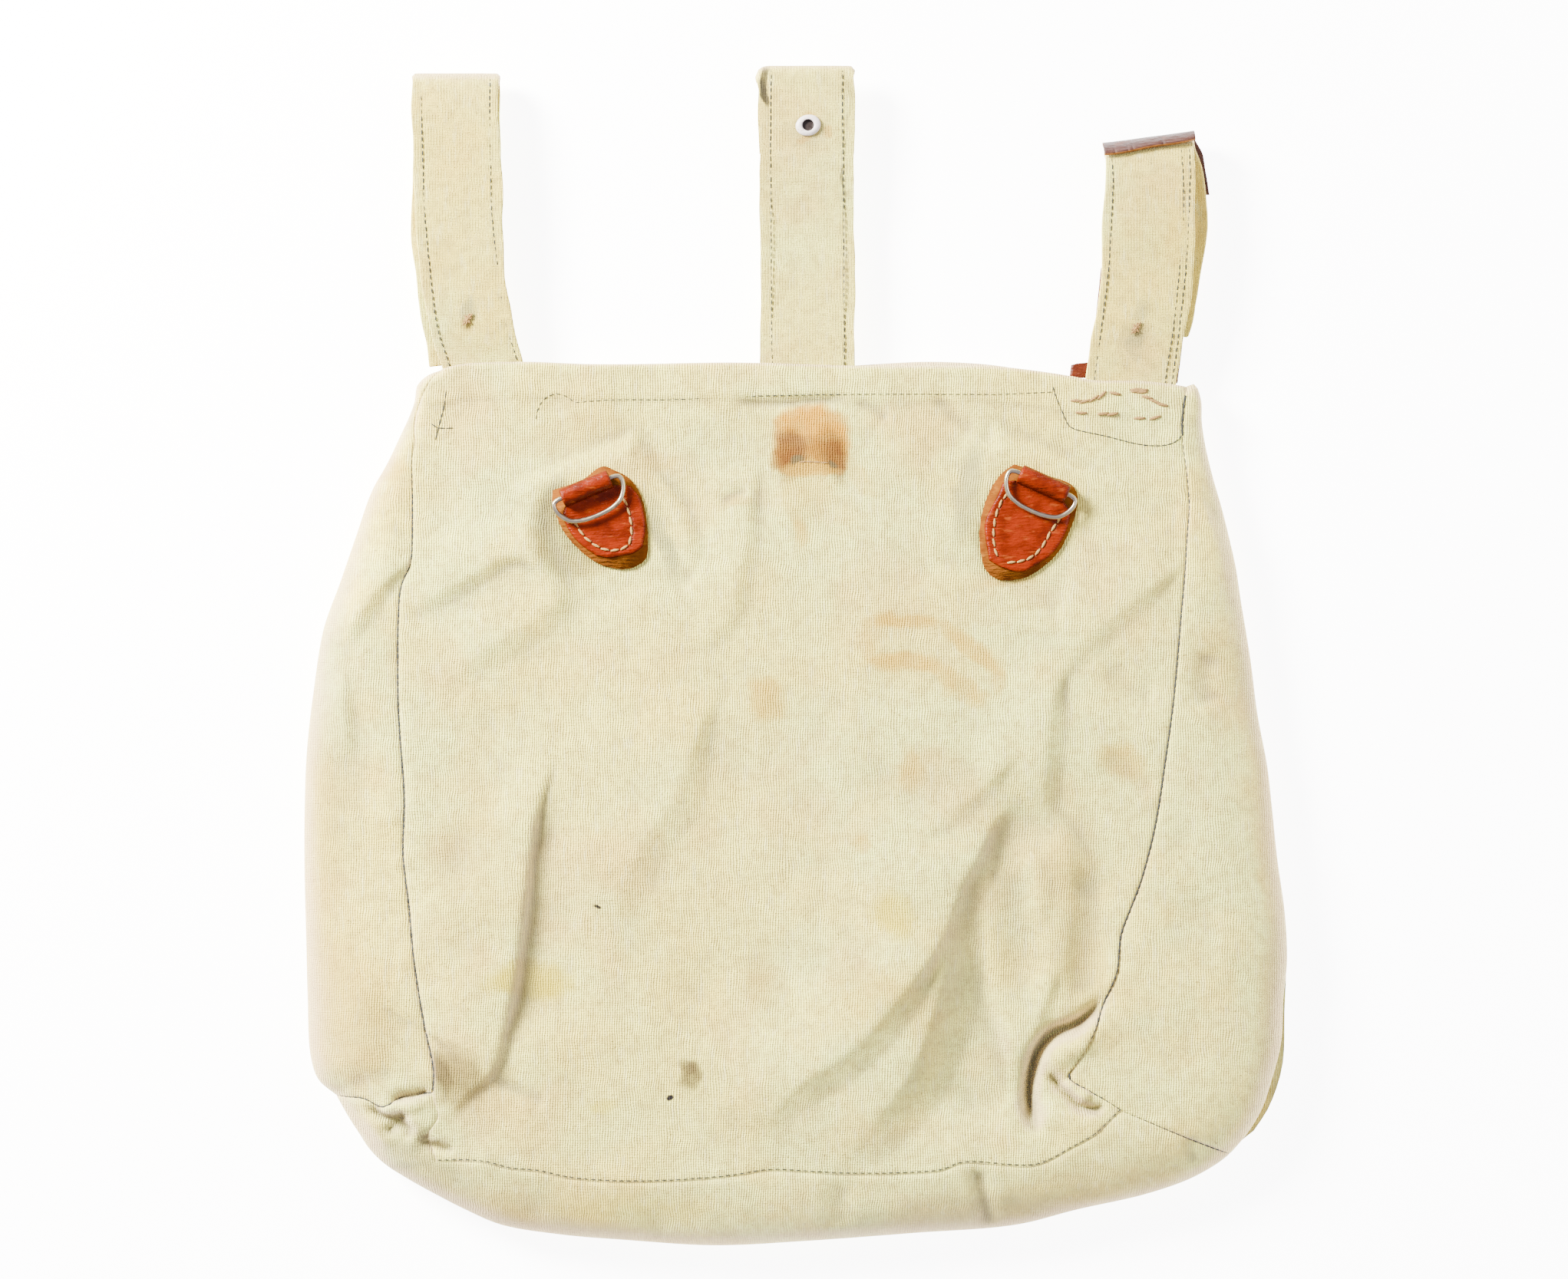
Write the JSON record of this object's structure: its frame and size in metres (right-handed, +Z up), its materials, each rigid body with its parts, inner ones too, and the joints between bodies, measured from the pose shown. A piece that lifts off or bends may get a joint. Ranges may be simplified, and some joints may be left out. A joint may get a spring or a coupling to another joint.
{
  "type": "canvas haversack",
  "caption": "Canvas haversack lying flat on its front flap, with belt loops, a centre strap with a belt hook, and D-rings held on the back by leather tabs.",
  "frame": {"origin": "under the middle of the object's box, on the surface that the bag lies on", "axes": "+X to the right and +Y towards the belt loops as the bag's back is seen from above, +Z up from the surface"},
  "size_m": [0.362, 0.4328, 0.0289],
  "materials": {
    "canvas": "coarse ribbed cotton, worn and stained",
    "strap_canvas": "doubled cotton, edge-stitched",
    "leather": "worn red-brown, slightly glossy",
    "steel": "worn, lightly rusted",
    "enamel": "pale, satin",
    "horn": "turned horn, matte"
  },
  "bodies": {
    "bag": {"back_panel": "canvas", "gusset_left": "canvas", "gusset_right": "canvas", "front_panel": "canvas", "flap": "canvas", "belt_loop_left": "strap_canvas", "belt_loop_right": "strap_canvas", "centre_strap": "strap_canvas", "loop_tip_right": "leather", "loop_cap_right": "leather", "ring_tab_left": "leather", "ring_tab_right": "leather", "belt_hook": "steel", "strap_rivet": "enamel", "button_left": "horn", "button_right": "horn"},
    "ring_left": {"ring_left": "steel"},
    "ring_right": {"ring_right": "steel"}
  },
  "joints": [
    {"name": "ring_left_swing", "type": "hinge", "parent": "bag", "child": "ring_left", "pos_m": [-0.0769, 0.06111, 0.02312], "axis": [-0.9212, -0.3891, 0], "range_deg": [0, 170]},
    {"name": "ring_right_swing", "type": "hinge", "parent": "bag", "child": "ring_right", "pos_m": [0.08978, 0.06272, 0.02299], "axis": [-0.9128, 0.4083, 0], "range_deg": [0, 170]}
  ]
}
